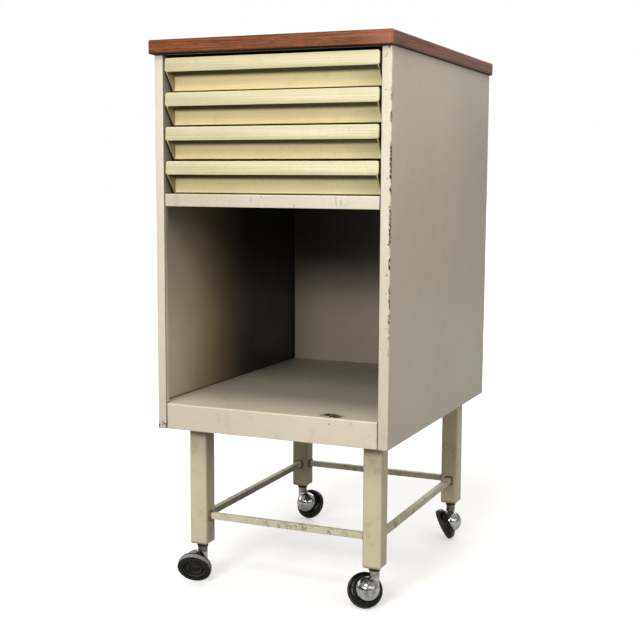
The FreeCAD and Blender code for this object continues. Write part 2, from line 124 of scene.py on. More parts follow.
class Finish:
    """A procedural material, built up one step at a time."""

    def __init__(self, name):
        self.material = bpy.data.materials.new(name)
        self.material.use_nodes = True
        self.nodes = self.material.node_tree.nodes
        self.links = self.material.node_tree.links
        self.shader = next(n for n in self.nodes if n.type == "BSDF_PRINCIPLED")
        place = self.nodes.new("ShaderNodeTexCoord")
        self.place = place.outputs["Object"]
        split = self.add("ShaderNodeSeparateXYZ", {0: self.place})
        self.x, self.y, self.z = split.outputs

    def put(self, socket, value):
        """Links an output to the socket, or sets a plain value on it."""
        if isinstance(value, bpy.types.NodeSocket):
            self.links.new(value, socket)
        else:
            socket.default_value = value

    def add(self, kind, values=None, **settings):
        """A new node with its settings, and values for its inputs."""
        node = self.nodes.new(kind)
        for key, value in settings.items():
            setattr(node, key, value)
        for socket, value in (values or {}).items():
            self.put(node.inputs[socket], value)
        return node

    def math(self, operation, a, b=0.0, clamp=False):
        node = self.add("ShaderNodeMath", {0: a, 1: b}, operation=operation, use_clamp=clamp)
        return node.outputs[0]

    def times(self, *values):
        """The product of the values."""
        product = values[0]
        for value in values[1:]:
            product = self.math("MULTIPLY", product, value)
        return product

    def most(self, *values):
        """The largest of the values."""
        largest = values[0]
        for value in values[1:]:
            largest = self.math("MAXIMUM", largest, value)
        return largest

    def step(self, value, low, high, to_low=0.0, to_high=1.0):
        """Rises smoothly from to_low to to_high as value goes from low to high."""
        node = self.add(
            "ShaderNodeMapRange",
            {0: value, 1: low, 2: high, 3: to_low, 4: to_high},
            interpolation_type="SMOOTHSTEP",
        )
        return node.outputs[0]

    def near(self, value, middle, reach, soft=0.5):
        """1 where value is close to middle, 0 beyond reach."""
        away = self.math("ABSOLUTE", self.math("SUBTRACT", value, middle))
        return self.step(away, reach * (1 - soft), reach, 1.0, 0.0)

    def stretched(self, stretch, shift=(0.0, 0.0, 0.0)):
        """Each point's place, scaled along the axes and moved."""
        node = self.add("ShaderNodeMapping", {0: self.place, 1: shift, 3: stretch})
        return node.outputs[0]

    def noise(self, scale, detail=2.0, rough=0.5, stretch=None, shift=(0.0, 0.0, 0.0)):
        at = self.stretched(stretch or (1.0, 1.0, 1.0), shift)
        node = self.add(
            "ShaderNodeTexNoise",
            {"Vector": at, "Scale": scale, "Detail": detail, "Roughness": rough},
        )
        return node.outputs[0]

    def cells(self, scale, shift=(0.0, 0.0, 0.0)):
        at = self.stretched((1.0, 1.0, 1.0), shift)
        node = self.add("ShaderNodeTexVoronoi", {"Vector": at, "Scale": scale})
        return node.outputs["Distance"]

    def blend(self, share, under, over):
        """The under colour, covered by a share of the over colour."""
        node = self.add(
            "ShaderNodeMix", {0: share, 6: under, 7: over}, data_type="RGBA", clamp_factor=True
        )
        return node.outputs[2]

    def shade(self, colour, amount):
        """The colour made darker or lighter by a number that runs round 1."""
        if not isinstance(colour, bpy.types.NodeSocket):
            colour = colour[:3]
        node = self.add("ShaderNodeVectorMath", {0: colour, 3: amount}, operation="SCALE")
        return node.outputs[0]

    def bump(self, height, depth, under=None):
        """Surface normals bent by a height, on top of those of another bump."""
        node = self.add("ShaderNodeBump", {"Height": height, "Distance": depth, "Strength": 1.0})
        if under is not None:
            self.put(node.inputs["Normal"], under)
        return node.outputs[0]

    def edges(self, radius):
        """1 at the sharp edges of the piece, falling to 0 a radius away."""
        rounded = self.add("ShaderNodeBevel", {"Radius": radius}, samples=4).outputs[0]
        flat = self.add("ShaderNodeNewGeometry").outputs["Normal"]
        facing = self.add("ShaderNodeVectorMath", {0: rounded, 1: flat}, operation="DOT_PRODUCT")
        return self.step(facing.outputs["Value"], 0.99, 0.80)

    def set(self, **values):
        """Puts values into the shader's sockets; an underscore stands for a space."""
        for key, value in values.items():
            self.put(self.shader.inputs[key.replace("_", " ")], value)


def rgb(red, green, blue):
    """A colour given in screen values from 0 to 255, as a linear one."""

    def linear(value):
        share = value / 255.0
        return share / 12.92 if share <= 0.04045 else ((share + 0.055) / 1.055) ** 2.4

    return (linear(red), linear(green), linear(blue), 1.0)


BARE_STEEL = rgb(24, 19, 16)
RUST = rgb(44, 27, 17)
GRIME = rgb(96, 84, 62)
CARCASS = rgb(234, 225, 206)
# painted shade: the browner, darker tint deep inside the carcass
CARCASS_SHADED = rgb(230, 207, 170)
SHELVES = rgb(227, 217, 197)
BACK_SHEET = rgb(172, 158, 142)
DRAWER = rgb(228, 220, 178)
# painted shade: the darker, yellower tint of the drawers' recessed faces
DRAWER_SHADED = rgb(225, 212, 160)
TRAY = rgb(126, 119, 101)
LEGS = rgb(215, 206, 175)
BARS = rgb(219, 212, 183)
WELDS = rgb(106, 97, 72)
TEAK_DARK, TEAK_LIGHT = rgb(126, 62, 19), rgb(162, 90, 38)
STREAK_DARK, STREAK_LIGHT = rgb(86, 37, 13), rgb(182, 106, 52)
PORE = rgb(52, 25, 13)
EDGE_SHADE = rgb(16, 10, 7)
EDGE_SPECKS = rgb(48, 26, 16)
EDGE_FADED = rgb(190, 122, 84)
EDGE_RUBBED = rgb(172, 112, 82)
EDGE_SEAM = rgb(50, 28, 18)
CHIPS_DARK, CHIPS_LIGHT = rgb(30, 22, 15), rgb(48, 36, 25)
ZINC_DARK, ZINC_LIGHT = rgb(112, 112, 108), rgb(150, 150, 146)
CHROME_BRIGHT, CHROME_HAZED = rgb(200, 202, 205), rgb(146, 147, 148)
CHROME_STAIN = rgb(84, 82, 80)
CHROME_PITS = rgb(70, 64, 58)
CHROME_BROWN = rgb(92, 70, 46)
OILED_DARK, OILED_LIGHT = rgb(30, 24, 21), rgb(62, 46, 36)
RUBBER, RUBBER_DUST = rgb(7, 7, 7), rgb(24, 23, 21)
RUBBER_SCUFF = rgb(164, 162, 159)
HUB_DARK, HUB_LIGHT = rgb(7, 7, 6), rgb(26, 25, 22)
HUB_RING_DUST_AND_SHEEN = rgb(92, 89, 82)
HUB_DUST = rgb(112, 110, 102)
FLOOR_DARK, FLOOR_LIGHT = rgb(247, 247, 246), rgb(251, 251, 250)
FLOOR_BOUNCE = rgb(105, 104, 102)


def bared(paint, gate, chips, extra_chips):
    """1 where the steel shows: chipped rims, a few spots and the piece's own marks."""
    rim = paint.edges(0.0011)
    bite = paint.noise(320.0, 4.0, 0.65)
    run = paint.noise(22.0, 3.0, 0.6, shift=(0.2, 0.9, 0.4))
    worn = paint.times(rim, paint.step(bite, 0.54, 0.60), paint.step(run, 0.50, 0.60))
    spots = paint.noise(150.0, 2.0, 0.5, shift=(0.6, 0.6, 0.1))
    spots = paint.times(paint.step(spots, 0.74, 0.77), paint.step(gate, 0.50, 0.60))
    bare = paint.times(paint.most(worn, spots), chips)
    if extra_chips is not None:
        bare = paint.most(bare, extra_chips(paint, bite))
    return paint.math("MINIMUM", bare, 1.0)


def enamel(
    name, colour, chips, scuffs, grime,
    extra_chips=None, tone=None, stain=None, gloss=0.42, shine=0.5,
):
    """Old stoved enamel on sheet steel: orange peel, faint mottling, dirt, scuffs and chips."""
    paint = Finish(name)
    blotch = paint.noise(7.0, 4.0, 0.6)
    fine = paint.noise(260.0, 3.0, 0.6)
    tint = paint.math(
        "ADD",
        paint.step(blotch, 0.3, 0.7, 0.965, 1.02),
        paint.step(fine, 0.2, 0.8, -0.022, 0.022),
    )
    # tone and stain carry the piece's painted light and shade, besides a few real stains
    if tone is not None:
        tint = paint.math("MULTIPLY", tint, tone(paint))
    if stain is not None:
        colour = stain(paint, colour)
    base = paint.shade(colour, tint)
    dirt_where = paint.noise(34.0, 5.0, 0.7, shift=(0.3, 0.1, 0.7))
    dirt = paint.times(paint.step(dirt_where, 0.52, 0.78), grime)
    base = paint.blend(dirt, base, GRIME)
    line = paint.noise(26.0, 2.0, 0.5, stretch=(16.0, 16.0, 1.0), shift=(0.4, 0.2, 0.9))
    gate = paint.noise(5.0, 2.0, 0.5, shift=(0.8, 0.5, 0.2))
    scratch = paint.times(paint.near(line, 0.5, 0.006), paint.step(gate, 0.55, 0.62), scuffs)
    base = paint.blend(scratch, base, GRIME)
    bare = bared(paint, gate, chips, extra_chips)
    metal = paint.blend(paint.step(paint.noise(90.0, 3.0, 0.6), 0.4, 0.6), BARE_STEEL, RUST)
    paint.set(Base_Color=paint.blend(bare, base, metal))
    dull = paint.step(blotch, 0.3, 0.7, gloss - 0.05, gloss + 0.07)
    dull = paint.math("ADD", dull, paint.times(bare, 0.3))
    paint.set(Roughness=paint.math("ADD", dull, paint.times(dirt, 0.25)))
    paint.set(Specular_IOR_Level=shine)
    peel = paint.bump(paint.noise(520.0, 2.0, 0.5), 0.00004)
    dents = paint.bump(paint.noise(5.5, 2.0, 0.4), 0.0012, peel)
    paint.set(Normal=paint.bump(paint.math("SUBTRACT", 1.0, bare), 0.00018, dents))
    return paint.material


def stile_chips(paint, bite):
    """Chips along the right stile's outer corner, and knocks at the left stile's foot."""
    front = paint.near(paint.y, FRONT, 0.0035)
    corner = paint.times(paint.near(paint.x, HALF_W - 0.0008, 0.0024, 0.6), front)
    run = paint.noise(30.0, 3.0, 0.7, shift=(0.0, 0.0, 0.37))
    scattered = paint.near(paint.z, CHIPPED_MIDDLE, CHIPPED_REACH)
    heights = paint.most(
        *(paint.near(paint.z, middle, reach) for middle, reach in CHIPPED_RUNS),
        paint.times(scattered, paint.step(run, 0.46, 0.54)),
    )
    along = paint.times(corner, heights, paint.step(bite, 0.44, 0.49))
    scatter = paint.noise(210.0, 3.0, 0.6, shift=(0.1, 0.3, 0.8))
    specks = paint.times(
        paint.near(paint.x, SPECKS_X, 0.0042),
        front,
        paint.near(paint.z, CHIPPED_MIDDLE, CHIPPED_REACH - 0.01),
        paint.step(scatter, 0.66, 0.69),
    )
    foot = paint.times(
        paint.near(paint.z, CARCASS_LOW + 0.002, 0.012),
        paint.step(paint.x, 0.004 - STILE_IN, -STILE_IN),
        front,
        paint.step(bite, 0.50, 0.56),
    )
    knock = paint.times(
        paint.near(paint.x, KNOCK_X, 0.0016), paint.near(paint.z, KNOCK_Z, 0.0016), front
    )
    slant = paint.math("ADD", paint.x, paint.times(paint.z, -SCRATCH_SLOPE))
    scratch = paint.times(
        paint.near(slant, SCRATCH_X - SCRATCH_SLOPE * SCRATCH_Z, 0.0005),
        paint.near(paint.x, SCRATCH_X, 0.004),
        paint.near(paint.z, SCRATCH_Z, 0.0045),
        front,
    )
    return paint.most(along, specks, foot, knock, scratch)


def shelf_flakes(paint, bite):
    """The ragged flake and a mark on the open shelf, and scratches on the rail and apron."""
    shelf = paint.near(paint.z, SHELF_Z, 0.0008)
    ragged = paint.times(paint.math("SUBTRACT", bite, 0.5), FLAKE_RAGGED)
    across = paint.math("ADD", paint.math("SUBTRACT", paint.x, FLAKE_X), ragged)
    inward = paint.math("ADD", paint.math("SUBTRACT", paint.y, FLAKE_Y), ragged)
    skew = paint.math("ADD", inward, paint.times(across, FLAKE_SKEW))
    away = paint.math(
        "ADD",
        paint.math("POWER", paint.math("DIVIDE", across, FLAKE_LENGTH), 2.0),
        paint.math("POWER", paint.math("DIVIDE", skew, FLAKE_DEPTH), 2.0),
    )
    patch = paint.times(paint.step(away, 1.0, 0.85), paint.step(bite, 0.37, 0.41), shelf)
    mark = paint.times(
        paint.near(paint.x, SHELF_MARK_X, 0.004),
        paint.near(paint.y, SHELF_MARK_Y, 0.0016),
        paint.step(bite, 0.48, 0.54),
        shelf,
    )
    face = paint.near(paint.y, FRONT, 0.0006)
    short_scratch = paint.times(
        paint.near(paint.x, SHORT_SCRATCH_X, 0.0007),
        paint.near(paint.z, RAIL_SCRATCH_Z - 0.001, 0.006),
    )
    rail_marks = paint.times(
        paint.most(paint.near(paint.x, LONG_SCRATCH_X, 0.0005), short_scratch),
        paint.near(paint.z, RAIL_SCRATCH_Z, 0.009),
        paint.step(bite, 0.44, 0.52),
        face,
    )
    apron_mark = paint.times(
        paint.near(paint.x, APRON_MARK_X, 0.0022),
        paint.near(paint.z, APRON_MARK_Z, 0.0010),
        paint.step(bite, 0.5, 0.55),
        face,
    )
    return paint.most(patch, mark, rail_marks, apron_mark)


def inside(paint):
    """1 on the faces that look into the cabinet, 0 on its outside and its front."""
    inner_side = paint.step(paint.math("ABSOLUTE", paint.x), HALF_W - 0.0002, HALF_W - 0.0006)
    behind_front = paint.step(paint.y, FRONT + 0.0003, FRONT + 0.0012)
    before_back = paint.step(paint.y, BACK - 0.0002, BACK - 0.0008)
    return paint.times(inner_side, behind_front, before_back)


def inside_shade(paint, shade_factor):
    """Painted shade on faces that look into the cabinet: the given factor there, and 1 elsewhere."""
    lost = paint.times(inside(paint), paint.math("SUBTRACT", 1.0, shade_factor))
    return paint.math("SUBTRACT", 1.0, lost)


def side_tone(paint):
    """Painted light and shade inside: lighter near the front, darker deep in, towards the top, low by
    the shelf and in the drawer bay, and a painted shade line down the fold.

    The outside of the right panel has painted shade towards its top back corner.
    """
    # painted light near the front and painted shade deeper in, on the inner faces
    depth = paint.step(paint.y, FRONT, BACK - 0.18, 1.32, 0.03)
    # painted shade in the drawer bay just behind the front
    deep = paint.step(paint.y, FRONT + 0.012, FRONT + 0.04, 0.42, 0.80)
    above = paint.step(paint.z, RAIL_Z - 0.004, RAIL_Z)
    bay = paint.math("SUBTRACT", 1.0, paint.times(above, deep))
    # painted shade towards the top of the inside and low by the shelf
    height_shade = paint.times(
        paint.step(paint.z, SHELF_Z + 0.05, RAIL_LOW, 1.0, 0.50),
        paint.step(paint.z, SHELF_Z, SHELF_Z + 0.14, 0.74, 1.0),
    )
    # painted shade: a dark line down the fold, standing for the shadow of a groove
    fold = paint.times(
        paint.near(paint.x, FOLD_X, 0.0009), paint.step(paint.y, FRONT + 0.003, FRONT + 0.002)
    )
    crease = paint.step(fold, 0.0, 1.0, 1.0, 0.25)
    joint = paint.times(paint.near(paint.z, SHELF_Z, 0.0026, 0.7), inside(paint))
    joint = paint.step(joint, 0.0, 1.0, 1.0, 0.35)
    # painted shade on the right panel's outside, towards its top back corner
    top_back_shade = paint.times(
        paint.step(paint.x, HALF_W - 0.0006, HALF_W - 0.0002),
        paint.step(paint.y, -0.1, BACK),
        paint.step(paint.z, 0.40, CARCASS_TOP),
    )
    top_back_shade = paint.step(top_back_shade, 0.0, 1.0, 1.0, 0.84)
    return paint.times(inside_shade(paint, paint.times(depth, bay, height_shade)), crease, joint, top_back_shade)


def shaded_interior_tint(paint, colour):
    """Painted shade: the carcass's coat, tinted browner and darker the deeper it is inside."""
    deep = paint.times(inside(paint), paint.step(paint.y, FRONT + 0.02, FRONT + 0.22))
    return paint.blend(deep, colour, CARCASS_SHADED)


def top_tone(paint):
    """Painted shade: the sheet under the worktop is painted nearly black behind its front edge, which
    is left lighter.
    """
    return paint.step(paint.y, FRONT + 0.0003, FRONT + 0.0012, 0.75, 0.06)


def tray_tone(paint):
    """Painted shade: the trays are painted dark along their undersides."""
    under = 0.0
    for top in DRAWER_TOPS:
        under = paint.most(under, paint.near(paint.z, top - TRAY_BOTTOM, 0.0006))
    return paint.step(under, 0.0, 1.0, 1.0, 0.15)


def shelf_tone(paint):
    """Painted shade: the shelf darkens behind its front and the inside darkens up towards the
    divider's underside; painted highlights on the folded front edges, and darker along the side
    walls.
    """
    # painted shade, deeper behind the front
    worn = paint.step(paint.y, FRONT + 0.01, FRONT + 0.16, 1.13, 0.64)
    # painted shade rising towards the divider's underside
    height = paint.times(paint.step(paint.z, SHELF_Z + 0.1, RAIL_LOW - 0.01, 1.0, 0.24), worn)
    # painted highlight on the folded front edges of shelf and divider
    folded = paint.most(paint.near(paint.z, SHELF_Z, 0.0024), paint.near(paint.z, RAIL_Z, 0.0024))
    edge_highlight = paint.times(folded, paint.near(paint.y, FRONT, 0.0024))
    edge_highlight = paint.step(edge_highlight, 0.0, 1.0, 1.0, 1.22)
    sides = paint.near(paint.math("ABSOLUTE", paint.x), HALF_W - 0.001, 0.003, 0.6)
    sides = paint.step(sides, 0.0, 1.0, 1.0, 0.5)
    return paint.times(inside_shade(paint, height), edge_highlight, sides)


def back_tone(paint):
    """Painted shade: darker towards the top, on the inner face only."""
    height = paint.step(paint.z, SHELF_Z + 0.06, RAIL_LOW - 0.05, 1.0, 0.14)
    inner_face = paint.step(paint.y, BACK - 0.0014, BACK - 0.0020)
    lost = paint.times(inner_face, paint.math("SUBTRACT", 1.0, height))
    return paint.math("SUBTRACT", 1.0, lost)


def shaded_recess_tint(paint, colour):
    """Painted shade: the drawer fronts' recessed faces are tinted darker and yellower than the bands.
    """
    recess = paint.step(paint.y, BAND_FACE + 0.003, BAND_FACE + 0.010)
    return paint.blend(recess, colour, DRAWER_SHADED)


def drawer_tone(paint):
    """Painted shade lines and painted highlights on the pull bands; painted shadow and shade in the
    finger recesses, lighter on the higher drawers.
    """
    proud = paint.near(paint.y, BAND_FACE, 0.0016)
    recess = paint.step(paint.y, BAND_FACE + 0.003, BAND_FACE + 0.005)
    shade_line_mask, edge_highlight, band_shadow = 0.0, 0.0, 0.0
    for top in DRAWER_TOPS:
        # painted shade lines across the band
        for share, reach in BAND_SHADE_LINES:
            mark = paint.near(paint.z, top - share * BAND_HEIGHT, reach, 0.9)
            shade_line_mask = paint.most(shade_line_mask, mark)
        # painted highlight on each band's top edge and on the recess's foot lip
        edge_highlight = paint.most(edge_highlight, paint.near(paint.z, top - 0.0007, 0.0012, 0.9))
        foot = paint.near(paint.z, top - PANEL_HEIGHT, 0.0012, 0.9)
        edge_highlight = paint.most(edge_highlight, paint.times(foot, recess))
        # painted shadow cast by the band on the recess below it
        chin = top - BAND_HEIGHT
        under = paint.step(paint.z, chin - 0.010, chin - 0.002)
        band_shadow = paint.most(band_shadow, paint.times(under, paint.step(paint.z, top, top - 0.001)))
    patchy = paint.noise(14.0, 3.0, 0.6, stretch=(1.0, 1.0, 4.0))
    shade_line_mask = paint.times(shade_line_mask, paint.step(patchy, 0.35, 0.65, 0.25, 1.0), proud)
    lined_shade = paint.step(shade_line_mask, 0.0, 1.0, 1.0, 0.84)
    brushed = paint.noise(9.0, 4.0, 0.6, stretch=(0.5, 1.0, 38.0), shift=(0.2, 0.0, 0.4))
    # painted shade on the cheeks' inner faces and the recess's right end
    cheek = paint.step(paint.math("ABSOLUTE", paint.x), CHEEK_X - 0.0012, CHEEK_X - 0.0004)
    right_end_shadow = paint.times(paint.step(paint.x, 0.10, CHEEK_X), 0.22)
    dull = paint.most(paint.times(band_shadow, 0.74), paint.times(cheek, 0.55), right_end_shadow)
    recess_shade = paint.math("SUBTRACT", 1.0, paint.times(dull, recess))
    edge = paint.step(edge_highlight, 0.0, 1.0, 1.0, 1.12)
    # painted light: recesses lighter the higher the drawer
    higher_recess_lit = paint.times(recess, paint.step(paint.z, DRAWER_TOPS[-1], DRAWER_TOPS[0]))
    higher_recess_lit = paint.step(higher_recess_lit, 0.0, 1.0, 1.0, 1.12)
    return paint.times(lined_shade, paint.step(brushed, 0.3, 0.7, 0.955, 1.03), recess_shade, edge, higher_recess_lit)


def frame_tone(paint):
    """Painted shade on the legs under the carcass, on the left legs' inward faces and on the back
    left leg, painted light on the back right leg, and brown stains round the welds.
    """
    # painted shadow under the carcass
    under = paint.step(paint.z, CARCASS_LOW + 0.039, CARCASS_LOW - 0.021, 0.86, 1.0)
    # painted shade on the back left leg, painted light on the back right leg and painted shade on the
    # left legs' inward faces
    far = paint.times(paint.step(paint.x, 0.0, -0.1), paint.step(paint.y, 0.1, 0.2))
    inward = paint.near(paint.x, LEFT_LEG_IN, 0.0022)
    lit_back_right = paint.times(paint.step(paint.x, 0.0, 0.1), paint.step(paint.y, 0.1, 0.2))
    leg_shading = paint.times(
        paint.step(far, 0.0, 1.0, 1.0, 0.66),
        paint.step(inward, 0.0, 1.0, 1.0, 0.84),
        paint.step(lit_back_right, 0.0, 1.0, 1.0, 1.16),
    )
    stain = paint.noise(70.0, 4.0, 0.65, shift=(0.4, 0.1, 0.5))
    weld = paint.times(paint.near(paint.z, STRETCHER_Z, 0.018, 0.8), paint.step(stain, 0.52, 0.66))
    return paint.times(under, leg_shading, paint.step(weld, 0.0, 1.0, 1.0, 0.80))


def edge_wear(wood, base):
    """Painted shade on the edging's under-edge, its specks, line and seam, and its faded, rubbed
    right corner.
    """
    # painted shade along the edging's lower rounded edge
    under = wood.step(wood.z, CARCASS_TOP + 0.0020, CARCASS_TOP + 0.0010)
    base = wood.blend(under, base, EDGE_SHADE)
    low_edge = wood.near(wood.z, CARCASS_TOP + 0.0015, 0.0022)
    specks = wood.times(low_edge, wood.step(wood.noise(300.0, 3.0, 0.6), 0.52, 0.60))
    line = wood.near(wood.z, WORKTOP_TOP - 0.0014, 0.0005)
    base = wood.blend(wood.times(wood.most(specks, line), 0.75), base, EDGE_SPECKS)
    corner = wood.times(
        wood.step(wood.x, WORKTOP_HALF_W - 0.012, WORKTOP_HALF_W - 0.003),
        wood.step(wood.y, WORKTOP_FRONT + 0.014, WORKTOP_FRONT + 0.004),
    )
    faded = wood.times(
        wood.step(wood.x, WORKTOP_HALF_W - 0.07, WORKTOP_HALF_W - 0.01),
        wood.step(wood.y, WORKTOP_FRONT + 0.006, WORKTOP_FRONT + 0.002),
    )
    base = wood.blend(wood.times(faded, 0.35), base, EDGE_FADED)
    rubbed = wood.times(corner, wood.step(wood.noise(110.0, 3.0, 0.6), 0.42, 0.62, 0.25, 0.7))
    base = wood.blend(rubbed, base, EDGE_RUBBED)
    seam = wood.times(
        wood.near(wood.x, WORKTOP_HALF_W - 0.0032, 0.0004),
        wood.step(wood.y, WORKTOP_FRONT + 0.002, WORKTOP_FRONT + 0.001),
    )
    return wood.blend(wood.times(seam, 0.8), base, EDGE_SEAM)


def laminate(name, across_top):
    """Teak laminate: fine straight grain with darker pores and a soft satin lacquer."""
    wood = Finish(name)
    if across_top:
        wide, fine, pores = (1.2, 14.0, 14.0), (2.2, 90.0, 90.0), (9.0, 420.0, 420.0)
    else:
        wide, fine, pores = (1.4, 1.4, 70.0), (3.2, 3.2, 260.0), (22.0, 22.0, 620.0)
    warp = wood.noise(3.0, 3.0, 0.5)
    band = wood.noise(3.0, 4.0, 0.6, stretch=wide)
    streak = wood.noise(3.0, 5.0, 0.65, stretch=fine, shift=(0.1, 0.7, 0.3))
    pore = wood.noise(3.0, 3.0, 0.6, stretch=pores, shift=(0.5, 0.2, 0.6))
    base = wood.blend(wood.step(band, 0.35, 0.65), TEAK_DARK, TEAK_LIGHT)
    base = wood.blend(wood.step(streak, 0.48, 0.62, 0.0, 0.85), base, STREAK_DARK)
    base = wood.blend(wood.step(streak, 0.46, 0.34, 0.0, 0.5), base, STREAK_LIGHT)
    base = wood.blend(wood.step(pore, 0.54, 0.64, 0.0, 0.85), base, PORE)
    base = wood.shade(base, wood.step(warp, 0.3, 0.7, 0.93, 1.07))
    if not across_top:
        base = edge_wear(wood, base)
    wood.set(Base_Color=base)
    wood.set(Roughness=wood.step(streak, 0.3, 0.7, 0.34, 0.46))
    wood.set(Normal=wood.bump(pore, 0.00004, wood.bump(warp, 0.0003)))
    wood.set(Specular_IOR_Level=0.28, Coat_Weight=0.05, Coat_Roughness=0.3)
    return wood.material


def chipboard(name):
    """Pressed wood chips under a brown sealing coat."""
    board = Finish(name)
    chips = board.cells(260.0)
    tint = board.noise(180.0, 3.0, 0.6)
    base = board.blend(board.step(tint, 0.35, 0.65), CHIPS_DARK, CHIPS_LIGHT)
    base = board.shade(base, board.step(chips, 0.1, 0.6, 0.85, 1.08))
    board.set(Base_Color=base, Roughness=0.85, Specular_IOR_Level=0.05)
    board.set(Normal=board.bump(chips, 0.0004))
    return board.material


def galvanised(name):
    """Zinc-plated steel for the runners and screws."""
    zinc = Finish(name)
    grain = zinc.noise(120.0, 4.0, 0.6)
    brushed = zinc.noise(20.0, 3.0, 0.6, stretch=(1.0, 0.15, 30.0))
    base = zinc.blend(zinc.step(grain, 0.35, 0.65), ZINC_DARK, ZINC_LIGHT)
    zinc.set(Base_Color=base, Metallic=0.9)
    zinc.set(Roughness=zinc.step(brushed, 0.3, 0.7, 0.34, 0.55))
    zinc.set(Normal=zinc.bump(brushed, 0.00003))
    return zinc.material


def chrome(name, neck_rust):
    """Chrome plate, pitted and hazed, worn through to brown steel on the neck."""
    plate = Finish(name)
    haze = plate.noise(60.0, 4.0, 0.6)
    stain = plate.noise(150.0, 5.0, 0.7, shift=(0.3, 0.8, 0.1))
    pits = plate.step(plate.noise(700.0, 2.0, 0.5), 0.62, 0.68)
    base = plate.blend(plate.step(haze, 0.35, 0.7), CHROME_BRIGHT, CHROME_HAZED)
    base = plate.blend(plate.step(stain, 0.50, 0.66, 0.0, 0.6), base, CHROME_STAIN)
    base = plate.blend(plate.times(pits, 0.8), base, CHROME_PITS)
    neck = plate.step(plate.z, NECK_LOW, NECK_LOW + 0.003, 0.0, neck_rust)
    worn = plate.times(neck, plate.step(stain, 0.30, 0.60, 1.0, 0.55))
    plate.set(Base_Color=plate.blend(worn, base, CHROME_BROWN), Metallic=1.0)
    rough = plate.math("ADD", plate.step(haze, 0.3, 0.7, 0.05, 0.15), plate.times(pits, 0.3))
    plate.set(Roughness=plate.math("ADD", rough, plate.times(worn, 0.35)))
    plate.set(Normal=plate.bump(stain, 0.00010, plate.bump(haze, 0.00012)))
    return plate.material


def browned_steel(name):
    """The dark oiled steel of the sockets and stems."""
    steel = Finish(name)
    grain = steel.noise(200.0, 4.0, 0.6)
    base = steel.blend(steel.step(grain, 0.4, 0.65), OILED_DARK, OILED_LIGHT)
    steel.set(Base_Color=base, Metallic=0.55)
    steel.set(Roughness=steel.step(grain, 0.3, 0.7, 0.38, 0.6))
    steel.set(Normal=steel.bump(grain, 0.00005))
    return steel.material


def wheel_frame(corner):
    """The wheel's axis and the middle of its outer face, from its joint."""
    joint = WHEELS["wheel_" + corner]
    return Vector(joint["axis"]), Vector(joint["pos_m"])


def from_axis(rubber, axis, face):
    """Distance out from the wheel's axis, and distance along it, at each point."""
    away = rubber.add("ShaderNodeVectorMath", {0: rubber.place, 1: face}, operation="SUBTRACT")
    along = rubber.add(
        "ShaderNodeVectorMath", {0: away.outputs[0], 1: axis}, operation="DOT_PRODUCT"
    ).outputs["Value"]
    on_axis = rubber.add("ShaderNodeVectorMath", {0: tuple(axis), 3: along}, operation="SCALE")
    radial = rubber.add(
        "ShaderNodeVectorMath", {0: away.outputs[0], 1: on_axis.outputs[0]}, operation="SUBTRACT"
    )
    length = rubber.add("ShaderNodeVectorMath", {0: radial.outputs[0]}, operation="LENGTH")
    return length.outputs["Value"], along


def tyre_rubber(name, axis, face, scuffs):
    """Hard black rubber, glossy on its shoulder and scuffed grey where it rolls."""
    rubber = Finish(name)
    radius, along = from_axis(rubber, axis, face)
    grain = rubber.noise(500.0, 4.0, 0.65)
    cloud = rubber.noise(90.0, 4.0, 0.6)
    tread = rubber.times(
        rubber.step(radius, WHEEL_R - 0.0011, WHEEL_R - 0.0003),
        rubber.near(along, -TREAD_WIDTH * 0.55, TREAD_WIDTH * 0.62, 0.35),
    )
    scuffed = rubber.times(tread, rubber.step(grain, 0.30, 0.62, 0.55, 1.0), scuffs)
    dust = rubber.step(cloud, 0.42, 0.75, 0.0, 0.35)
    base = rubber.blend(dust, RUBBER, RUBBER_DUST)
    base = rubber.blend(scuffed, base, RUBBER_SCUFF)
    rubber.set(Base_Color=base)
    gloss = rubber.math("ADD", rubber.step(cloud, 0.3, 0.7, 0.16, 0.32), rubber.times(tread, 0.35))
    rubber.set(Roughness=gloss, Specular_IOR_Level=0.25)
    rubber.set(Normal=rubber.bump(grain, 0.00012))
    return rubber.material


def hub_plastic(name, axis, face):
    """The moulded wheel centre: fine turned rings, dust in its dish, and light rings at its steps
    that are partly dust and partly painted highlight.
    """
    hub = Finish(name)
    radius, _ = from_axis(hub, axis, face)
    rings = hub.math("SINE", hub.times(radius, 2 * math.pi / 0.0021))
    cloud = hub.noise(140.0, 4.0, 0.65)
    dust = hub.noise(520.0, 3.0, 0.65, shift=(0.2, 0.5, 0.9))
    broken = hub.step(cloud, 0.36, 0.56, 0.15, 1.0)
    ring_dust_and_sheen = 0.0
    for ring, reach in DUST_AND_SHEEN_RINGS:
        ring_dust_and_sheen = hub.most(ring_dust_and_sheen, hub.near(radius, ring, reach, 0.8))
    base = hub.blend(hub.step(cloud, 0.35, 0.7), HUB_DARK, HUB_LIGHT)
    base = hub.blend(hub.times(ring_dust_and_sheen, broken, 0.5), base, HUB_RING_DUST_AND_SHEEN)
    base = hub.blend(hub.step(dust, 0.55, 0.66, 0.0, 0.75), base, HUB_DUST)
    hub.set(Base_Color=base, Specular_IOR_Level=0.14)
    hub.set(Roughness=hub.step(cloud, 0.3, 0.7, 0.36, 0.58))
    hub.set(Normal=hub.bump(rings, 0.00035, hub.bump(dust, 0.0002)))
    return hub.material


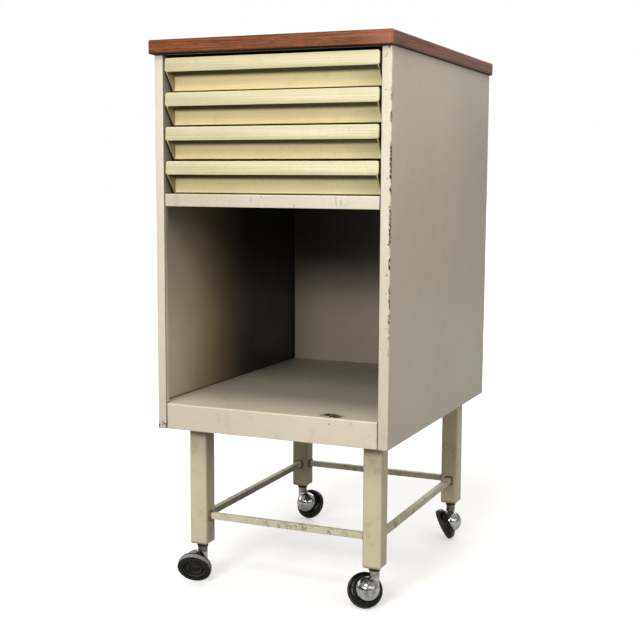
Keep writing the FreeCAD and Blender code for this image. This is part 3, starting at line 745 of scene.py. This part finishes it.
def worn_stretcher(name):
    """The stretchers' paint, rubbed through to grey metal in long patches."""

    def patches(paint, bite):
        """Where the metal shows through."""
        wide = paint.noise(46.0, 4.0, 0.65, shift=(0.7, 0.3, 0.2))
        return paint.times(paint.step(wide, 0.56, 0.64), paint.step(bite, 0.42, 0.56), 0.62)

    def shaded_inward_face(paint):
        """Painted shade on the left bar's inward face, between the legs."""
        inward = paint.step(paint.x, BAR_LEFT + STRETCHER_HALF - 0.0012, BAR_LEFT + STRETCHER_HALF)
        left = paint.step(paint.x, BAR_LEFT + 0.012, BAR_LEFT + 0.010)
        between = paint.step(paint.math("ABSOLUTE", paint.y), *BETWEEN_LEGS)
        return paint.step(paint.times(inward, left, between), 0.0, 1.0, 1.0, 0.34)

    return enamel(
        name, BARS, chips=1.2, scuffs=1.0, grime=0.45,
        extra_chips=patches, tone=shaded_inward_face, gloss=0.45,
    )


# ---------------------------------------------------------------- CAD nodes


def soften(node, width):
    """Rounds a sheet's sharp edges a little, so that they catch the light."""
    node.data.shade_smooth()
    weld = node.modifiers.new("join", "WELD")
    weld.merge_threshold = 0.00001
    bevel = node.modifiers.new("soften", "BEVEL")
    bevel.width = width
    bevel.segments = 2
    bevel.limit_method = "ANGLE"
    bevel.angle_limit = math.radians(40)
    bevel.harden_normals = True


def dress(names, material, width=None):
    """Gives CAD nodes one material, and softened edges where a width is given."""
    for name in names:
        node = frame["nodes"][name]
        node.data.materials.clear()
        node.data.materials.append(material)
        if width:
            soften(node, width)


# How scuffed each tread is, and how brown each caster's neck
TREAD_SCUFFS = {"front_left": 0.9, "front_right": 0.12, "back_left": 0.12, "back_right": 0.12}
NECK_RUST = {"front_left": 0.97, "front_right": 0.45, "back_left": 0.85, "back_right": 0.95}


def dress_all():
    """Gives every CAD node its material."""
    carcass = enamel(
        "carcass_enamel", CARCASS, chips=1.0, scuffs=0.3, grime=0.12,
        extra_chips=stile_chips, tone=side_tone, stain=shaded_interior_tint,
    )
    shelves = enamel(
        "shelf_enamel", SHELVES, chips=0.8, scuffs=0.6, grime=0.30,
        extra_chips=shelf_flakes, tone=shelf_tone,
    )
    under_top = enamel(
        "top_panel_enamel", CARCASS, chips=0.3, scuffs=0.3, grime=0.5, tone=top_tone, shine=0.1
    )
    fronts = enamel(
        "drawer_enamel", DRAWER, chips=0.35, scuffs=0.25, grime=0.14,
        tone=drawer_tone, stain=shaded_recess_tint, gloss=0.38,
    )
    trays = enamel(
        "tray_enamel", TRAY, chips=0.6, scuffs=0.7, grime=0.4, tone=tray_tone, gloss=0.5
    )
    legs = enamel("leg_enamel", LEGS, chips=0.7, scuffs=0.4, grime=0.32, tone=frame_tone)
    bars = worn_stretcher("stretcher_enamel")
    zinc = galvanised("zinc_plate")
    dark = browned_steel("browned_steel")
    dress(("side_panel_left", "side_panel_right"), carcass, SHEET_SOFTENING)
    dress(("top_panel",), under_top, SHEET_SOFTENING)
    back = enamel(
        "back_enamel", BACK_SHEET, chips=0.6, scuffs=0.5, grime=0.15, tone=back_tone
    )
    dress(("back_panel",), back, SHEET_SOFTENING)
    dress(("divider_shelf", "bottom_shelf"), shelves, SHEET_SOFTENING)
    for number in range(1, 5):
        dress(("drawer_front_%d" % number,), fronts, SHEET_SOFTENING)
        dress(("drawer_tray_%d" % number,), trays)
        dress(("drawer_runners_%d" % number,), zinc, RUNNER_SOFTENING)
    dress(("runner_posts_left", "runner_posts_right", "worktop_screws", "leg_plate_screws"), zinc)
    dress(("leg_plates",), legs, PLATE_SOFTENING)
    dress(["leg_" + corner for corner in CORNERS], legs)
    dress(["stretcher_" + name for name in ("front", "back", "left", "right")], bars)
    dress(("worktop_laminate",), laminate("teak_top", True))
    dress(("worktop_edging",), laminate("teak_edge", False))
    dress(("worktop_core",), chipboard("chipboard"))
    for corner in CORNERS:
        axis, face = wheel_frame(corner)
        dress(("caster_socket_" + corner, "caster_stem_" + corner), dark)
        dress(("caster_hood_" + corner,), chrome("chrome_" + corner, NECK_RUST[corner]))
        dress(("caster_axle_" + corner,), zinc)
        rubber = tyre_rubber("rubber_" + corner, axis, face, TREAD_SCUFFS[corner])
        dress(("wheel_tyre_" + corner,), rubber)
        dress(("wheel_hub_" + corner,), hub_plastic("hub_" + corner, axis, face))


# ---------------------------------------------------------------- weld beads


def weld_ring(mesh, middle, outward, seed):
    """A lumpy weld laid round the end of a square bar, where it meets a leg."""
    up = Vector((0.0, 0.0, 1.0))
    across = up.cross(outward)
    half = STRETCHER_HALF + 0.0004
    rings = []
    for i in range(BEAD_STEPS):
        turn = 2 * math.pi * i / BEAD_STEPS
        side, rise = math.cos(turn), math.sin(turn)
        # Partly the bar's square outline and partly a circle round it
        square = half / max(abs(side), abs(rise)) * 0.55 + half * 1.06 * 0.45
        radial = across * side + up * rise
        lump = noise.noise(Vector((side * 2.1 + seed, rise * 2.1, seed * 1.7)))
        ripple = noise.noise(Vector((i * 0.55, seed * 3.1, 0.0)))
        thick = BEAD_R * (1.0 + 0.70 * lump + 0.35 * ripple)
        centre = middle + radial * (square + 0.0009) + outward * 0.0006
        ring = []
        for k in range(BEAD_SIDES):
            roll = 2 * math.pi * k / BEAD_SIDES
            rim = radial * math.cos(roll) * 1.15 + outward * math.sin(roll) * 1.25
            ring.append(mesh.verts.new(centre + rim * thick))
        rings.append(ring)
    for i in range(BEAD_STEPS):
        here, there = rings[i], rings[(i + 1) % BEAD_STEPS]
        for k in range(BEAD_SIDES):
            after = (k + 1) % BEAD_SIDES
            mesh.faces.new((here[k], there[k], there[after], here[after]))


def weld_beads(material):
    """The eight welds, two at each leg."""
    mesh = bmesh.new()
    seed = 0.0
    for corner in CORNERS:
        low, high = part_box("leg_" + corner)
        leg = (low + high) / 2
        leg_half = (high[X] - low[X]) / 2
        cross_bar_z = STRETCHER_Z if corner.startswith("front") else SIDE_BAR_Z
        inward = Vector((-math.copysign(1, leg[X]), 0, 0))
        endward = Vector((0, -math.copysign(1, leg[Y]), 0))
        for outward, height in ((inward, cross_bar_z), (endward, SIDE_BAR_Z)):
            seed += 1.37
            foot = Vector((leg[X], leg[Y], height))
            weld_ring(mesh, foot + outward * leg_half, outward, seed)
    bmesh.ops.recalc_face_normals(mesh, faces=mesh.faces)
    data = bpy.data.meshes.new("weld_beads_laid")
    mesh.to_mesh(data)
    mesh.free()
    data.materials.append(material)
    data.shade_smooth()
    beads = bpy.data.objects.new("weld_beads_laid", data)
    bpy.context.scene.collection.objects.link(beads)
    smooth = beads.modifiers.new("smooth", "SUBSURF")
    smooth.levels = 1
    smooth.render_levels = 1
    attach(beads, "cabinet")
    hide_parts("weld_beads")


# ---------------------------------------------------------------- camera, light and floor


def aim(azimuth, elevation):
    """The direction towards a place at an azimuth round the cabinet and an elevation."""
    turn, tilt = math.radians(azimuth), math.radians(elevation)
    flat = math.cos(tilt)
    return Vector((math.sin(turn) * flat, -math.cos(turn) * flat, math.sin(tilt)))


def camera():
    """The camera, turned a little about its own axis."""
    back = aim(CAM_AZIMUTH, CAM_PITCH)
    roll = math.radians(CAM_ROLL)
    level = (-back).cross(Vector((0.0, 0.0, 1.0))).normalized()
    rise = level.cross(-back)
    right = level * math.cos(roll) + rise * math.sin(roll)
    up = rise * math.cos(roll) - level * math.sin(roll)
    data = bpy.data.cameras.new("camera")
    data.sensor_width = SENSOR
    data.lens = CAM_LENS
    data.clip_end = 100.0
    view = bpy.data.objects.new("camera", data)
    turn = Matrix((right, up, back)).transposed().to_4x4()
    view.matrix_world = Matrix.Translation(CAM_TARGET + back * CAM_DISTANCE) @ turn
    bpy.context.scene.collection.objects.link(view)
    bpy.context.scene.camera = view


def softbox(name, azimuth, elevation, distance, size, power, colour):
    """A rectangular light that faces the middle of the cabinet."""
    data = bpy.data.lights.new(name, "AREA")
    data.shape = "RECTANGLE"
    data.size, data.size_y = size
    data.energy = power
    data.color = colour
    light = bpy.data.objects.new(name, data)
    towards = aim(azimuth, elevation)
    turn = towards.to_track_quat("Z", "Y").to_matrix().to_4x4()
    light.matrix_world = Matrix.Translation(LIT_MIDDLE + towards * distance) @ turn
    bpy.context.scene.collection.objects.link(light)


# The world's glow: axis, where it starts and ends along it, and how bright it gets
SKY_GLOW = ((Z, 0.15, 0.85, 0.36), (Y, -0.1, 0.7, 0.22))
MIRRORED_GLOW = 0.16


def surroundings():
    """A pale studio: dim in front at eye level, brighter overhead and behind, white to the camera."""
    world = bpy.data.worlds.new("studio")
    bpy.context.scene.world = world
    world.use_nodes = True
    nodes, links = world.node_tree.nodes, world.node_tree.links
    nodes.clear()
    way = nodes.new("ShaderNodeTexCoord")
    split = nodes.new("ShaderNodeSeparateXYZ")
    links.new(way.outputs["Generated"], split.inputs[0])
    glow = []
    for axis, start, end, brightest in SKY_GLOW:
        rise = nodes.new("ShaderNodeMapRange")
        rise.interpolation_type = "SMOOTHSTEP"
        links.new(split.outputs[axis], rise.inputs[0])
        for socket, value in zip((1, 2, 3, 4), (start, end, 0.0, brightest)):
            rise.inputs[socket].default_value = value
        glow.append(rise.outputs[0])
    path = nodes.new("ShaderNodeLightPath")
    mirrored = nodes.new("ShaderNodeMath")
    mirrored.operation = "MULTIPLY_ADD"
    links.new(path.outputs["Is Glossy Ray"], mirrored.inputs[0])
    mirrored.inputs[1].default_value = MIRRORED_GLOW
    links.new(glow[0], mirrored.inputs[2])
    both = nodes.new("ShaderNodeMath")
    links.new(mirrored.outputs[0], both.inputs[0])
    links.new(glow[1], both.inputs[1])
    lit = nodes.new("ShaderNodeBackground")
    lit.inputs[0].default_value = (1.0, 0.98, 0.965, 1.0)
    links.new(both.outputs[0], lit.inputs[1])
    seen = nodes.new("ShaderNodeBackground")
    seen.inputs[0].default_value = (1.0, 1.0, 1.0, 1.0)
    mixed = nodes.new("ShaderNodeMixShader")
    links.new(path.outputs["Is Camera Ray"], mixed.inputs[0])
    links.new(lit.outputs[0], mixed.inputs[1])
    links.new(seen.outputs[0], mixed.inputs[2])
    out = nodes.new("ShaderNodeOutputWorld")
    links.new(mixed.outputs[0], out.inputs[0])


def floor():
    """A pale floor that runs out to white and throws little light back up."""
    mesh = bmesh.new()
    bmesh.ops.create_grid(mesh, x_segments=6, y_segments=6, size=FLOOR_HALF)
    data = bpy.data.meshes.new("floor")
    mesh.to_mesh(data)
    mesh.free()
    pale = Finish("pale_floor")
    grain = pale.noise(40.0, 3.0, 0.5)
    shown = pale.blend(grain, FLOOR_DARK, FLOOR_LIGHT)
    path = pale.add("ShaderNodeLightPath").outputs
    pale.set(Base_Color=pale.blend(path["Is Diffuse Ray"], shown, FLOOR_BOUNCE))
    pale.set(Roughness=0.9, Specular_IOR_Level=0.1)
    reach = pale.add("ShaderNodeVectorMath", {0: pale.place}, operation="LENGTH")
    far = pale.step(reach.outputs["Value"], 0.4, 2.0, 0.36, 1.0)
    glow = pale.times(far, path["Is Camera Ray"])
    pale.set(Emission_Color=(1.0, 1.0, 1.0, 1.0), Emission_Strength=glow)
    data.materials.append(pale.material)
    plane = bpy.data.objects.new("floor", data)
    bpy.context.scene.collection.objects.link(plane)


# Each softbox: azimuth, elevation, distance, size, power and colour
SOFTBOXES = (
    ("key", 0.0, 17.5, 3.5, (0.9, 0.5), 46.0, (1.0, 0.99, 0.98)),
    ("overhead", 6.0, 42.0, 3.5, (1.6, 0.8), 31.0, (1.0, 0.99, 0.98)),
    ("front_left", -25.0, 20.0, 3.5, (1.0, 0.8), 9.0, (1.0, 0.95, 0.86)),
    ("front_right", 45.0, 22.0, 3.5, (1.4, 1.0), 13.5, (1.0, 0.93, 0.84)),
    ("right", 75.0, 12.0, 3.0, (2.0, 1.2), 12.0, (1.0, 0.91, 0.82)),
    ("back", 187.0, 24.0, 3.5, (2.4, 1.4), 30.0, (1.0, 0.98, 0.95)),
    ("left", 265.0, 15.0, 3.0, (2.0, 1.2), 19.0, (1.0, 0.97, 0.93)),
)


def lights():
    """A frontal key, a higher one over it, and weaker softboxes to the sides and behind."""
    scene = bpy.context.scene
    scene.view_settings.view_transform = "Standard"
    scene.view_settings.look = "None"
    for name, azimuth, elevation, distance, size, power, colour in SOFTBOXES:
        softbox(name, azimuth, elevation, distance, size, power, colour)


camera()
surroundings()
lights()
floor()
dress_all()
weld_beads(enamel("weld_enamel", WELDS, chips=1.6, scuffs=0.5, grime=0.9))
